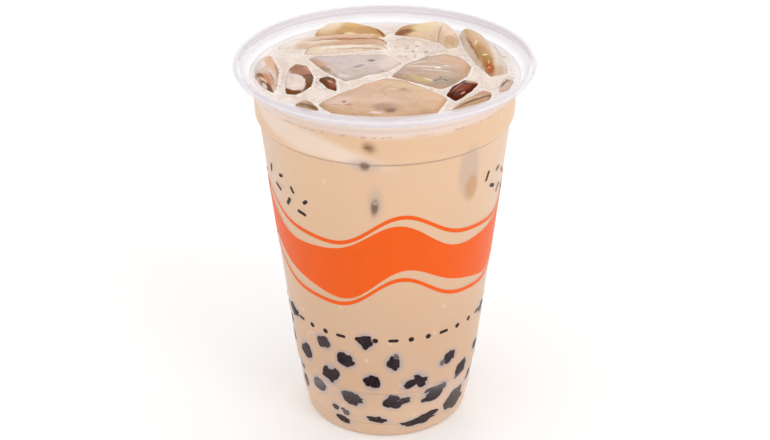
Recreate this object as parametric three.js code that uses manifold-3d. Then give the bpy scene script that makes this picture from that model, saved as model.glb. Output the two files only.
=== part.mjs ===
// Iced milk tea in a clear plastic cup with a rolled lip, filled to just under the lip.
// Millimetres, +Z up, the cup stands on z = 0 with its axis on the Z axis. -Y is the front.

import * as THREE from 'three';
import { mergeVertices } from 'three/addons/utils/BufferGeometryUtils.js';
import Module from 'manifold-3d';

const wasm = await Module();
wasm.setup();

// Cup, outer face: radius and height of each bend, from the foot up
const MOUTH_RADIUS = 47.5;
const WALL = 0.7;
const FLOOR_UNDERSIDE = 5.0;
const FLOOR_EDGE_RADIUS = 22.4;
const FOOT_INNER_RADIUS = 23.9;
const REST_INNER_RADIUS = 24.7;
const REST_OUTER_RADIUS = 25.9;
const FOOT_CORNER = new THREE.Vector2(27.45, 0);
const FOOT_SIDE = new THREE.Vector2(27.75, 2.6);
const CREASE = new THREE.Vector2(28.1, 5.5);
const HEEL = new THREE.Vector2(28.9, 7.6);
const STEP_LOW = new THREE.Vector2(30.3, 19.2);
const STEP_HIGH = new THREE.Vector2(31.0, 20.8);
const LEDGE_LOW = new THREE.Vector2(40.2, 107.6);
const LEDGE_CORNER = new THREE.Vector2(41.45, 107.9);
const LEDGE_HIGH = new THREE.Vector2(41.45, 110.2);
const COLLAR_TOP = new THREE.Vector2(41.5, 116.6);
const NECK_BEND = new THREE.Vector2(41.7, 120.6);

// Rolled lip, an upright oval bead
const LIP_HALF_WIDTH = 1.23;
const LIP_HALF_HEIGHT = 1.62;
const LIP_MIDDLE = new THREE.Vector2(MOUTH_RADIUS - LIP_HALF_WIDTH, 124.58);
const LIP_START_ANGLE = -0.75 * Math.PI;
const LIP_END_ANGLE = 0.95 * Math.PI;

// Drink, with the space left round it inside the cup and round each piece of ice
const TEA_LEVEL = 120.6;
const WALL_GAP = 0.3;
const ICE_GAP = 0.46;

// Fineness of the faceted surfaces
const SEGMENTS = 48;
const BEND_STEPS = 3;
const LIP_STEPS = 9;
const ICE_SEGMENTS = 20;
const SMALL_ICE_SEGMENTS = 14;
const LARGE_ICE_CORNERS = 6;
const FOLD_TOLERANCE = 0.02;
const MERGE_TOLERANCE = 1e-4;
const ORIGIN = new THREE.Vector2();

// How the ice narrows towards its sunk end, how square that end is, and at which angles up from the
// surface its section has points
const SUNK_TAPER = 0.35;
const SUNK_SQUARENESS = 3.2;
const SECTION_ANGLES = [-90, -65, -45, -22, 0, 35, 62, 90];

// Ice pieces that break the surface. outline is the piece's edge at the tea's surface, corner by corner.
// crown is where its top is highest, or the middle if none is given. rise and sink are above and below
// the surface, and flat says how flat the top is.
const ICE = {
  ice_left: {
    outline: [
      [-40.5, 3], [-39.3, 8.5], [-36.3, 11], [-33.6, 2], [-33.4, -10], [-34, -16.5], [-36.8, -13],
      [-40.1, -4.5],
    ],
    crown: [-38, 4], rise: 2.4, sink: 15, flat: 2.6,
  },
  ice_hollow: {
    outline: [
      [-30, 2], [-28, 6], [-24.7, 4.3], [-22.4, -4], [-23, -12], [-27.2, -18], [-29.7, -17.5], [-30.6, -9],
    ],
    rise: 1.0, sink: 14, flat: 4,
  },
  ice_chip: {
    outline: [[-20.3, -6.3], [-17.9, -4.9], [-15.5, -6.2], [-15, -15], [-17.4, -12.5]],
    rise: 0.8, sink: 8, flat: 3,
  },
  ice_front_chip: {
    outline: [[-26.8, -25.6], [-24.2, -23], [-21.8, -24.6], [-19.9, -29.4], [-24, -30]],
    rise: 0.9, sink: 8, flat: 3,
  },
  ice_front: {
    outline: [
      [0.5, -5.6], [6, -7.8], [18.9, -21.3], [15, -32.5], [0, -38], [-15.5, -32], [-20, -25.2], [-8, -12.2],
    ],
    rise: 1.1, sink: 17, flat: 4,
  },
  ice_flat: {
    outline: [[-24.4, 10.6], [-22.5, 12], [0.8, 13], [5.4, 6.9], [1, 0.4], [-12, -7.5], [-18.1, 0]],
    rise: 0.8, sink: 12, flat: 5,
  },
  ice_dome: {
    outline: [
      [1.8, -4.2], [7, 5.5], [12, 10], [19.5, 12.8], [24.5, 10], [27.3, 3.5], [25.6, -4], [20.5, -10.8],
      [17.4, -14.2], [9.2, -9],
    ],
    crown: [17, 5], rise: 1.6, sink: 16, flat: 2.6,
  },
  ice_bar_near: {
    outline: [
      [-26, 14.6], [-25.5, 18], [-18, 19.2], [-4, 20.6], [0.8, 20.2], [0.6, 18.6], [-10, 16.2], [-22, 14],
    ],
    crown: [-11, 19], rise: 1.7, sink: 9, flat: 2.4,
  },
  ice_bar_far: {
    outline: [
      [-34.6, 18.8], [-34.8, 20.8], [-31, 24.6], [-12, 27.6], [-1.5, 26.7], [0.8, 24.6], [0.4, 22.7],
      [-20, 20.4],
    ],
    crown: [-14, 25.4], rise: 2.4, sink: 10, flat: 2.4,
  },
  ice_back_left: {
    outline: [[-23.2, 31], [-21.5, 33.6], [-16, 36.6], [-8, 36.8], [0.8, 30.8], [-0.6, 29.4], [-12.5, 29]],
    crown: [-15.5, 34.5], rise: 3.4, sink: 11, flat: 2.2,
  },
  ice_back_right: {
    outline: [
      [2.4, 32.2], [9.5, 34.4], [17, 36.4], [22.4, 33], [24.2, 26], [23.2, 19], [20.8, 19], [18, 24.5],
      [12.5, 28.8],
    ],
    crown: [17.5, 33.5], rise: 3.8, sink: 12, flat: 2.2,
  },
  ice_right: {
    outline: [[25, 31], [28.6, 28.2], [34.5, 18], [38, 8], [38.4, -2.2], [33, -4.6], [29, 6], [26.5, 18]],
    crown: [28.5, 26], rise: 3.8, sink: 14, flat: 2.2,
  },
  ice_dark: {
    outline: [[18.7, -19], [20.8, -13], [24.8, -8.2], [28.5, -10], [26.2, -15.9], [21.3, -22.8]],
    rise: 0.9, sink: 9, flat: 3,
  },
  ice_sliver: {
    outline: [[19.8, -30.4], [25.4, -21.6], [30.2, -16.6], [32.2, -18], [31, -23], [25, -29]],
    rise: 1.0, sink: 9, flat: 3,
  },
  ice_small: {
    outline: [[34.9, -16.4], [35.8, -10.5], [38.6, -5.6], [39.5, -8.8], [37.2, -15.8]],
    rise: 1.6, sink: 8, flat: 2.4,
  },
};

const plastic = () => new THREE.MeshStandardMaterial({ color: 0xe6e3e8, roughness: 0.25, metalness: 0 });
const tea = () => new THREE.MeshStandardMaterial({ color: 0xe5c29f, roughness: 0.5, metalness: 0 });
const ice = () => new THREE.MeshStandardMaterial({ color: 0xc9a98c, roughness: 0.2, metalness: 0 });

// The outer face of the cup, from the middle of the raised floor's underside up to the lip
function outerWall() {
  const path = new THREE.Path();
  path.moveTo(0, FLOOR_UNDERSIDE);
  path.lineTo(FLOOR_EDGE_RADIUS, FLOOR_UNDERSIDE);
  path.quadraticCurveTo(FOOT_INNER_RADIUS, FLOOR_UNDERSIDE, FOOT_INNER_RADIUS, FLOOR_UNDERSIDE / 2);
  path.quadraticCurveTo(FOOT_INNER_RADIUS, 0, REST_INNER_RADIUS, 0);
  path.lineTo(REST_OUTER_RADIUS, 0);
  path.quadraticCurveTo(FOOT_CORNER.x, FOOT_CORNER.y, FOOT_SIDE.x, FOOT_SIDE.y);
  path.lineTo(CREASE.x, CREASE.y);
  path.lineTo(HEEL.x, HEEL.y);
  path.lineTo(STEP_LOW.x, STEP_LOW.y);
  path.quadraticCurveTo(STEP_HIGH.x, STEP_LOW.y, STEP_HIGH.x, STEP_HIGH.y);
  path.lineTo(LEDGE_LOW.x, LEDGE_LOW.y);
  path.quadraticCurveTo(LEDGE_CORNER.x, LEDGE_CORNER.y, LEDGE_HIGH.x, LEDGE_HIGH.y);
  path.lineTo(COLLAR_TOP.x, COLLAR_TOP.y);
  const lipStart = lipPoints()[0];
  path.quadraticCurveTo(NECK_BEND.x, NECK_BEND.y, lipStart.x, lipStart.y);
  return path.getPoints(BEND_STEPS);
}

function lipPoints() {
  const oval = new THREE.EllipseCurve(
    LIP_MIDDLE.x, LIP_MIDDLE.y, LIP_HALF_WIDTH, LIP_HALF_HEIGHT, LIP_START_ANGLE, LIP_END_ANGLE,
  );
  return oval.getPoints(LIP_STEPS);
}

// A line of points moved sideways towards the axis side, without the points that would fold over
function inset(points, distance) {
  const moved = points.map((point, i) => {
    const before = points[Math.max(i - 1, 0)];
    const after = points[Math.min(i + 1, points.length - 1)];
    const into = point.clone().sub(before).normalize();
    const out = after.clone().sub(point).normalize();
    const along = into.add(out).normalize();
    const half = i > 0 && i < points.length - 1 ? Math.cos(along.angleTo(after.clone().sub(point))) : 1;
    return new THREE.Vector2(point.x - (along.y * distance) / half, point.y + (along.x * distance) / half);
  });
  return moved.filter((point) => distanceTo(point, points) > distance - FOLD_TOLERANCE);
}

function distanceTo(point, points) {
  let nearest = Infinity;
  for (let i = 1; i < points.length; i += 1) {
    const start = new THREE.Vector3(points[i - 1].x, points[i - 1].y, 0);
    const end = new THREE.Vector3(points[i].x, points[i].y, 0);
    const here = new THREE.Vector3(point.x, point.y, 0);
    const foot = new THREE.Line3(start, end).closestPointToPoint(here, true, new THREE.Vector3());
    nearest = Math.min(nearest, foot.distanceTo(here));
  }
  return nearest;
}

// The profile turned about the Z axis
function turned(profile, segments = SEGMENTS) {
  const geometry = new THREE.LatheGeometry(profile, segments);
  geometry.rotateX(Math.PI / 2);
  return geometry;
}

function cupProfile() {
  const outside = outerWall();
  const inside = inset(outside, WALL).reverse();
  inside[inside.length - 1].x = 0;
  return [...outside, ...lipPoints().slice(1), ...inside];
}

// The drink follows the inside of the wall up to the level, then runs flat to the axis
function teaProfile() {
  const side = inset(outerWall(), WALL + WALL_GAP);
  side[0].x = 0;
  const above = side.findIndex((point) => point.y > TEA_LEVEL);
  const share = (TEA_LEVEL - side[above - 1].y) / (side[above].y - side[above - 1].y);
  const edge = side[above - 1].clone().lerp(side[above], share);
  return [...side.slice(0, above), edge, new THREE.Vector2(0, TEA_LEVEL)];
}

// The sides of an outline, seen from its middle: where each starts and ends, its outward direction and
// its distance from the middle
function sidesOf(corners, middle) {
  const spokes = corners.map((corner) => corner.clone().sub(middle));
  spokes.sort((a, b) => a.angle() - b.angle());
  return spokes.map((start, i) => {
    const end = spokes[(i + 1) % spokes.length];
    const normal = new THREE.Vector2(end.y - start.y, start.x - end.x).normalize();
    return { start, end, normal, distance: normal.dot(start) };
  });
}

// The direction of an outline's length, and its length for its width
function longWay(corners, middle) {
  const [xx, yy, xy] = corners.reduce(([a, b, c], { x, y }) => {
    const [right, far] = [x - middle.x, y - middle.y];
    return [a + right * right, b + far * far, c + right * far];
  }, [0, 0, 0]);
  const spread = Math.hypot((xx - yy) / 2, xy);
  const mean = (xx + yy) / 2;
  return { turn: Math.atan2(2 * xy, xx - yy) / 2, stretch: Math.sqrt((mean + spread) / (mean - spread)) };
}

// How far an outline reaches from its middle in a direction
function reach(sides, direction, margin) {
  const side = sides.find(({ start, end }) => start.cross(direction) >= 0 && direction.cross(end) >= 0);
  return (side.distance + margin) / side.normal.dot(direction);
}

// The difference between two angles, between minus half a turn and half a turn
function angleBetween(a, b) {
  return Math.atan2(Math.sin(a - b), Math.cos(a - b));
}

// Half of a section through a piece of ice, as radius and height between 0 and 1, from its sunk end up
function iceSection(flat) {
  return SECTION_ANGLES.map((degrees) => {
    const angle = THREE.MathUtils.degToRad(degrees);
    const square = degrees > 0 ? flat : SUNK_SQUARENESS;
    const size = (Math.cos(angle) ** square + Math.abs(Math.sin(angle)) ** square) ** (1 / square);
    return new THREE.Vector2(Math.abs(degrees) === 90 ? 0 : Math.cos(angle) / size, Math.sin(angle) / size);
  });
}

// One piece of ice, with points at each corner of its outline. A margin makes it larger all round.
function icePiece(piece, margin = 0) {
  const corners = piece.outline.map(([x, y]) => new THREE.Vector2(x, y));
  const middle = new THREE.Vector2();
  corners.forEach((corner) => middle.addScaledVector(corner, 1 / corners.length));
  const crown = piece.crown ? new THREE.Vector2(...piece.crown) : middle;
  const sides = sidesOf(corners, middle);
  const { turn, stretch } = longWay(corners, middle);
  const segments = corners.length < LARGE_ICE_CORNERS ? SMALL_ICE_SEGMENTS : ICE_SEGMENTS;
  const cornerAngles = sides.map(({ start }) => {
    const straight = start.clone().rotateAround(ORIGIN, -turn);
    return Math.atan2(straight.y, straight.x / stretch);
  });
  const geometry = turned(iceSection(piece.flat), segments);
  const place = geometry.attributes.position;
  for (let i = 0; i < place.count; i += 1) {
    const share = Math.hypot(place.getX(i), place.getY(i));
    const even = Math.atan2(place.getY(i), place.getX(i));
    const onCorner = cornerAngles.find((corner) => Math.abs(angleBetween(corner, even)) < Math.PI / segments);
    const angle = onCorner ?? even;
    const up = place.getZ(i);
    const direction = new THREE.Vector2(Math.cos(angle) * stretch, Math.sin(angle));
    direction.normalize().rotateAround(ORIGIN, turn);
    const edge = share > 0 ? reach(sides, direction, margin) : 0;
    const narrow = 1 - SUNK_TAPER * Math.max(0, -up);
    const here = middle.clone().addScaledVector(direction, edge * share * narrow);
    if (up > 0) here.addScaledVector(crown.clone().sub(middle), 1 - share);
    place.setXYZ(i, here.x, here.y, TEA_LEVEL + up * ((up > 0 ? piece.rise : piece.sink) + margin));
  }
  return geometry;
}

// A closed geometry as a solid that can be cut
function toSolid(geometry) {
  const bare = geometry.clone();
  bare.deleteAttribute('normal');
  bare.deleteAttribute('uv');
  const merged = mergeVertices(bare, MERGE_TOLERANCE);
  const corners = merged.index.array;
  const kept = [];
  for (let i = 0; i < corners.length; i += 3) {
    const [a, b, c] = [corners[i], corners[i + 1], corners[i + 2]];
    if (a !== b && b !== c && c !== a) kept.push(a, b, c);
  }
  const vertProperties = new Float32Array(merged.attributes.position.array);
  return new wasm.Manifold(new wasm.Mesh({ numProp: 3, vertProperties, triVerts: new Uint32Array(kept) }));
}

function toGeometry(solid) {
  const { vertProperties, triVerts } = solid.getMesh();
  const geometry = new THREE.BufferGeometry();
  geometry.setAttribute('position', new THREE.BufferAttribute(vertProperties, 3));
  geometry.setIndex(new THREE.BufferAttribute(triVerts, 1));
  geometry.computeVertexNormals();
  return geometry;
}

function named(name, geometry, material) {
  const mesh = new THREE.Mesh(geometry, material);
  mesh.name = name;
  return mesh;
}

const group = new THREE.Group();
group.add(named('cup', turned(cupProfile()), plastic()));

let drink = toSolid(turned(teaProfile()));
for (const [name, piece] of Object.entries(ICE)) {
  drink = drink.subtract(toSolid(icePiece(piece, ICE_GAP)));
  group.add(named(name, icePiece(piece), ice()));
}
group.add(named('milk_tea', toGeometry(drink), tea()));

export default group;
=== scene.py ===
import math
import random

import bmesh
import bpy
import numpy as np
from mathutils import Matrix, Vector, noise
from mathutils.bvhtree import BVHTree


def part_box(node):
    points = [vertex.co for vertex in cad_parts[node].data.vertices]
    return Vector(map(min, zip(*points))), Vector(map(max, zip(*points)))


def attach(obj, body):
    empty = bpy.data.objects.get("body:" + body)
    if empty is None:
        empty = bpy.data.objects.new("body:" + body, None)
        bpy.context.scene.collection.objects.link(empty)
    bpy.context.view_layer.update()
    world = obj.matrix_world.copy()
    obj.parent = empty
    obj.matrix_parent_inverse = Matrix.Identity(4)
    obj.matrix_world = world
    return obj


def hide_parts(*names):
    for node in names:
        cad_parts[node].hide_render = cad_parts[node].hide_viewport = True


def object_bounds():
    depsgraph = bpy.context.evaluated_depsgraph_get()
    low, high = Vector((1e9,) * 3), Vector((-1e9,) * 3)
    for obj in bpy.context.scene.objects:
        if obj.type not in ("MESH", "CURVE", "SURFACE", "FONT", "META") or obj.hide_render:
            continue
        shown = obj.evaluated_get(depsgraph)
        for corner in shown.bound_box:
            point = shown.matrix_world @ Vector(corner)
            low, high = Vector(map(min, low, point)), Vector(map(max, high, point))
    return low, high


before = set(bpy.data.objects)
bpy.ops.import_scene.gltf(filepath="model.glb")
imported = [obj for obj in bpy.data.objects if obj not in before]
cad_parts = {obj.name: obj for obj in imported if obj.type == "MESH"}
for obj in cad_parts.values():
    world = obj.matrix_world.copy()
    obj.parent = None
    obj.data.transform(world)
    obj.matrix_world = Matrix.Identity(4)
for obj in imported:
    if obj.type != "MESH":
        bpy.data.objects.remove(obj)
cad_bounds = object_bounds()

MM = 0.001
TURN = 2 * math.pi

# Outer face of the cup: radius and height of each bend, from the foot up
FLOOR_UNDERSIDE = 5.0 * MM
FLOOR_EDGE_RADIUS = 22.4 * MM
FOOT_INNER_RADIUS = 23.9 * MM
REST_INNER_RADIUS = 24.7 * MM
REST_OUTER_RADIUS = 25.9 * MM
FOOT_CORNER = (27.45 * MM, 0)
FOOT_SIDE = (27.75 * MM, 2.6 * MM)
CREASE = (28.1 * MM, 5.5 * MM)
HEEL = (28.9 * MM, 7.6 * MM)
STEP_LOW = (30.3 * MM, 19.2 * MM)
STEP_HIGH = (31.0 * MM, 20.8 * MM)
LEDGE_LOW = (40.2 * MM, 107.6 * MM)
LEDGE_CORNER = (41.45 * MM, 107.9 * MM)
LEDGE_HIGH = (41.45 * MM, 110.2 * MM)
COLLAR_TOP = (41.5 * MM, 116.6 * MM)
NECK_BEND = (41.7 * MM, 120.6 * MM)
LIP_HALF_WIDTH = 1.23 * MM
LIP_HALF_HEIGHT = 1.62 * MM
MOUTH_RADIUS = 47.5 * MM
LIP_MIDDLE = (MOUTH_RADIUS - LIP_HALF_WIDTH, 124.58 * MM)
LIP_START_ANGLE = math.radians(-135)
CURL_START_ANGLE = math.radians(200)
CURL_END_ANGLE = math.radians(-100)
BEND_STEPS = 6
CURL_STEPS = 26

# Depths below the cup's outer face, the wall's thickness, and how far the ink stands above the face
WALL_MIDDLE = 0.33 * MM
WALL_THICKNESS = 0.55 * MM
TEA_DEPTH = 0.25 * MM
PEARL_DEPTH = 0.18 * MM
INK_HEIGHT = 0.02 * MM
CUP_STEPS = 160
FOLD_TOLERANCE = 0.01 * MM
SPIN_MERGE = 0.002 * MM
SOLID_MERGE = 0.005 * MM

# The tea's top and how finely it is cut
TEA_LEVEL = 120.6 * MM
TEA_STEPS = 360
SIDE_SPACING_PEARLS = 0.8 * MM
SIDE_SPACING_PLAIN = 1.6 * MM
SIDE_SPACING_ICE = 0.9 * MM
PEARLS_TOP = 46 * MM
SUNK_ICE_BOTTOM = 90 * MM
TOP_RINGS = 125

# The camera that the rings of the cup fit, in the photograph's frame of 770 by 440 pixels
PHOTO_WIDTH = 770
PHOTO_HEIGHT = 440
FOCAL_PIXELS = 1514.7
CAMERA_DISTANCE = 0.5
CAMERA_ELEVATION = math.radians(28.16)
TARGET_HEIGHT = 68.05 * MM
SIDEWAYS = -0.17 * MM
ROLL = math.radians(-0.30)
SENSOR = 36.0
NEAREST_SEEN = 0.01
# How far before and behind its target a sight line is searched for the wall, and how finely
SIGHT_REACH = 0.12
SIGHT_STEP = 0.05 * MM

# Pearls that the front shows, read off the photograph in its pixels: across, down, width, height,
# then the lean in degrees and how far the milk hides the pearl
PEARLS_SEEN = (
    (306.5, 350.5, 8, 14, 18, 0.15), (323, 342, 11, 11, 10, 0.20), (365.5, 342.5, 14, 13, 20, 0.05),
    (345, 360, 17, 13, 12, 0.05), (394, 364, 14.5, 12.5, -8, 0.05), (449.5, 357.5, 11.5, 11, -38, 0.10),
    (461.5, 368, 9, 12, -30, 0.15), (330.5, 374.5, 13, 17, 22, 0.10), (372, 382.5, 14.5, 12.5, -15, 0.0),
    (421, 380.5, 11, 15, -30, 0.05), (410, 384.5, 14, 7, -12, 0.05), (319.5, 384, 10, 13, 28, 0.12),
    (352, 399, 21, 12.5, 14, 0.12), (393.5, 403, 18, 13, 8, 0.05), (404.5, 401, 11, 6, -6, 0.10),
    (435, 392, 22, 12.5, -24, 0.05), (454, 398.5, 14, 18, -36, 0.28), (336, 407, 6, 5, 30, 0.30),
    (342, 418, 12, 5, 20, 0.15), (377, 420.5, 19, 6, 8, 0.10), (420, 420, 27, 6.5, -10, 0.12),
    (345, 412, 9, 5, 25, 0.55), (396, 357.5, 6, 5, 0, 0.55), (443, 363, 6, 6, -40, 0.60),
)
PEARL_THICK = 4.2 * MM
PEARL_SINK = 0.7
# How lumpy a pearl is: the whole strength, then the fineness, share and shift of each noise
PEARL_ROUGH = 0.24
PEARL_LUMPS = ((1.4, 1.0, (3.1, 0, 0)), (3.6, 0.6, (0, 2.3, 0)), (7.0, 0.2, (0, 0, 1.7)))
PEARL_FINENESS = 4
# The pearls round the sides and back, in degrees and millimetres: they lie closer together low down
HIDDEN_SEED = 11
HIDDEN_FINENESS = 3
HIDDEN_PEARLS = 46
PEARL_TRIES = 6000
HIDDEN_FROM = 66
HIDDEN_LOWEST = 7.5
HIDDEN_HIGHEST = 42.0
HIDDEN_LOWERED = 1.25
HIDDEN_WIDE = (3.2, 7.6)
HIDDEN_HIGH = (2.6, 6.2)
HIDDEN_LEAN = 40
HIDDEN_HAZE = 0.5
PEARL_APART = 1.3 * MM

# Ice that is wholly sunk and shows blurred through the wall, in the same pixels: its grey shade,
# the golden brown within that, and the spots where it touches the wall
SHADES_SEEN = (
    (470, 171, 13, 36, -3), (375, 204, 7, 13, 0), (364, 165.5, 9, 2, 6), (369, 148, 4, 3, 0),
)
GOLDEN_SEEN = ((472, 187, 7, 14, -3), (369, 148.5, 6, 4, 30))
DEEP_SEEN = ((374.5, 208, 4, 8, 6), (364.5, 166, 7, 2, 4), (368, 148.5, 3, 1.5, 20))
# The same round the sides and back: angle from the front, height, width, height of the patch, lean
SHADES_HIDDEN = (
    (118, 99, 7, 13, 4), (-152, 97, 6, 10, -6), (171, 105, 4, 5, 0), (-96, 95, 4, 7, 5),
)
GOLDEN_HIDDEN = ((119, 97, 4, 8, 4), (-151, 96, 3.4, 6, -6), (171, 104.4, 2.4, 2.4, 0))
DEEP_HIDDEN = ((172, 103.6, 1.2, 1.4, 0),)
# Paler swirls of milk in the collar, in the same terms
MILKY = (
    (-50, 114.6, 26, 5, 12), (-26, 112, 18, 3, 16), (138, 113, 30, 7, -10), (-128, 112, 24, 6, 8),
)
# How far past its edge each of these fades out, and the greyish ring round a pearl, paler than the pearl and
# darker than the tea: partly the pearl seen through thin milk, partly painted shade
SHADE_REACH = 2.4 * MM
GOLDEN_REACH = 2.0 * MM
DEEP_REACH = 1.0 * MM
MILKY_REACH = 3.0 * MM
HALO_REACH = 1.7 * MM

# Ink: a thick wave with a thin line on each side, a ring of dots and dashes, and scattered strokes
WAVE_MIDDLE = 71.0 * MM
WAVE_HALF_HEIGHT = 8.2 * MM
WAVE_SWING = 5.2 * MM
WAVE_COUNT = 4
WAVE_START = 0.9
WAVE_SWELL = 0.22
WAVE_ROWS = 10
WAVE_STEPS = 300
RIPPLE = 0.25
RIPPLE_START = 0.6
LINE_HALF_HEIGHT = 0.75 * MM
LINE_OFFSET = 11.6 * MM
MARK_HEIGHT = 42.0 * MM
MARK_COUNT = 36
MARKS_START = 4
DASH_EVERY = 3
END_STEPS = 28
DOT_RADIUS = 0.95 * MM
DASH_HALF = (1.7 * MM, 0.62 * MM)
# Angle from the front, height, half length, half width and tilt of each stroke, in degrees and
# millimetres, and how often the group is repeated round the cup
STROKES = (
    (-66, 95.5, 1.9, 0.65, 70), (-60, 90.5, 1.9, 0.65, -25), (-56, 95.5, 1.3, 0.6, 20),
    (-52, 87.5, 1.9, 0.65, 55), (-48, 92.5, 1.3, 0.6, -60), (-43, 85.5, 1.9, 0.65, -10),
    (-40, 90, 1.3, 0.6, 40),
)
STROKE_REPEATS = 3
ORANGE = (236, 91, 6)
DARK = (44, 16, 16)
WORN_INK = 0.93
WORN_SHARE = 0.3

# Dark lines of painted shade on the tea under each bend of the wall: height, half width and strength
BEND_SHADE_LINES = ((107.7 * MM, 0.7 * MM, 0.6), (19.5 * MM, 0.5 * MM, 0.4), (5.7 * MM, 0.5 * MM, 0.45))

# Surface of the drink: its rise at the wall, its swell and grain, and the froth's rim round the ice
MENISCUS = 0.55 * MM
MENISCUS_REACH = 0.9 * MM
CALM_REACH = 1.5 * MM
SWELL = 0.28 * MM
SMALL_SWELL = 0.35
GRAIN = 0.07 * MM
LEVEL_TOLERANCE = 0.02 * MM
RIM_HEIGHT = 0.5 * MM
RIM_AT = 0.55 * MM
RIM_WIDE = 0.5 * MM
RIM_MIDDLE = 0.75
RIM_UNEVEN = 0.5
PALE_REACH = 4.0 * MM
CAVITY_SLOPE = 1.3
CAVITY_DEPTH = 4.2 * MM
ICE_SEARCH = 3 * MM
# The froth's small bubbles: how many, their sizes, and the chance of one at a spot in each place
BUBBLE_SEED = 5
BUBBLES = 320
BUBBLE_SIDES = 8
BUBBLE_RINGS = 5
SPOTS_A_BUBBLE = 12
BUBBLE_SMALLEST = 0.22 * MM
BUBBLE_LARGEST = 0.75 * MM
BUBBLE_SMALLNESS = 2.5
BUBBLE_FLATNESS = 0.45
CLEAR_OF_ICE = 0.8
BUBBLES_WITHIN = 41.2 * MM
SPOTS_WITHIN = 41 * MM
CHANCE_ANYWHERE = 0.02
CHANCE_IN_FIELD = 0.16
CHANCE_BESIDE_ICE = 0.1
BESIDE_ICE = 0.8 * MM
# How far the ice reaches past its solid, into the gap that the solid keeps to the drink, and how
# uneven it is: size and depth of its larger and its smaller lumps
ICE_GROWTH = 0.32 * MM
ICE_LUMPS = (5 * MM, 0.3 * MM)
ICE_DENTS = (1.7 * MM, 0.1 * MM)
ICE_CUTS = 3
ICE_SMOOTHINGS = 2
# Middle, half length, half width and turn of the two fields of larger bubbles
BUBBLE_FIELD = (10 * MM, 18.5 * MM, 9 * MM, 7 * MM, 10)
SIDE_FIELD = (-20 * MM, -2 * MM, 6 * MM, 2.6 * MM, -60)
FIELD_SOFTNESS = 0.6

# Heights between which something shows on the wall or the lip: it rises over the first two and falls
# over the last two
LEDGE_RING = (106.9 * MM, 107.6 * MM, 108.2 * MM, 109.2 * MM)
STEP_RING = (19.2 * MM, 19.9 * MM, 20.6 * MM, 21.2 * MM)
# The ridge ring and the crest rise place two lines of painted highlight on the lip
RIDGE_HIGHLIGHT_RING = (124.0 * MM, 124.3 * MM, 124.7 * MM, 125.0 * MM)
DIM_RING = (118.7 * MM, 119.1 * MM, 119.4 * MM, 119.8 * MM)
SPECK_RING = (116.7 * MM, 117.0 * MM, 117.3 * MM, 117.6 * MM)
NECK_RISE = (116.2 * MM, 118.6 * MM)
LIP_RISE = (121.5 * MM, 123.4 * MM)
CREST_HIGHLIGHT_RISE = (125.6 * MM, 126.0 * MM)
FOAM_RISE = (119.0 * MM, 121.6 * MM)
FOAM_WAVER = 6 * MM
TEA_RISE = (24 * MM, 112 * MM)
FOOT_FALL = (22 * MM, 8 * MM)

# How milky the clear plastic is in itself, and what each part of it adds; on the ledge and the step it is a
# painted sheen
PLAIN_MILK = 0.004
UNEVEN_MILK = 0.006
NECK_MILK = 0.12
LIP_MILK = 0.24
# The ledge and step values make the plastic paler in a band on each bend: a painted sheen
LEDGE_SHEEN = 0.05
STEP_SHEEN = 0.03
EDGE_MILK = 0.24
EDGE_FALL = 7.0

# Colours, each as it looks on a screen, 0 to 255
PLASTIC_GREY = (230, 223, 229)
# The pale plastic colour is painted highlight, laid as two lines round the lip
PLASTIC_HIGHLIGHT = (248, 244, 248)
TEA_LOW = (209, 172, 141)
TEA_HIGH = (227, 190, 155)
# The bend colour is painted shade, laid in thin lines on the tea under each bend of the wall
BEND_SHADE_COLOUR = (160, 116, 90)
CREAM = (237, 220, 208)
CREAM_DARK = (224, 202, 186)
PEARL_BLACK = (24, 12, 18)
PEARL_PLUM = (42, 28, 38)
BUBBLE_MIDDLE = (236, 219, 206)
BUBBLE_RIM = (255, 250, 246)

# Coats that lie over those colours: how each looks, and how strong it is
STREAKS = ((214, 182, 158), 0.3)
SWIRLS = ((242, 226, 214), 0.6)
SUNK_GREY = ((186, 164, 150), 0.55)
SUNK_GOLD = ((196, 148, 104), 0.8)
SUNK_DARK = ((104, 72, 54), 0.85)
# The grey ring round each pearl is partly the pearl seen through thin milk and partly painted shade
PEARL_HALO_SHADE = ((160, 156, 166), 0.6)
FRECKLES = ((244, 222, 196), 0.3)
PALE_FOOT = ((238, 208, 180), 0.3)
WALL_FOAM = ((238, 220, 208), 0.75)
DIM_LINE = ((214, 192, 178), 0.5)
SPECKS = ((150, 118, 104), 0.4)
BUTTERY = ((240, 225, 196), 0.6)
WHITE_FROTH = ((248, 235, 232), 0.7)
FINE_PITS = ((206, 184, 172), 0.6)
WHITE_EDGE = ((253, 246, 245), 1.0)
FIELD_PITS = ((146, 124, 116), 0.9)
FIELD_GRAIN = ((198, 180, 170), 0.5)
FROTH_RIM = ((254, 243, 233), 1.0)
# The colour below is painted shade, laid deeper in each hollow under the ice
HOLLOW_SHADE = ((190, 150, 118), 1.0)
PEARL_FOLDS = ((72, 57, 60), 0.6)
PEARL_HAZE = ((144, 127, 122), 1.0)
ICE_SHORE = ((246, 230, 218), 0.5)


def paint(red, green, blue):
    """A colour given as it looks on a screen, 0 to 255, as the shader's linear one."""
    shares = (red / 255, green / 255, blue / 255)
    linear = [s / 12.92 if s <= 0.04045 else ((s + 0.055) / 1.055) ** 2.4 for s in shares]
    return (*linear, 1.0)


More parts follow.
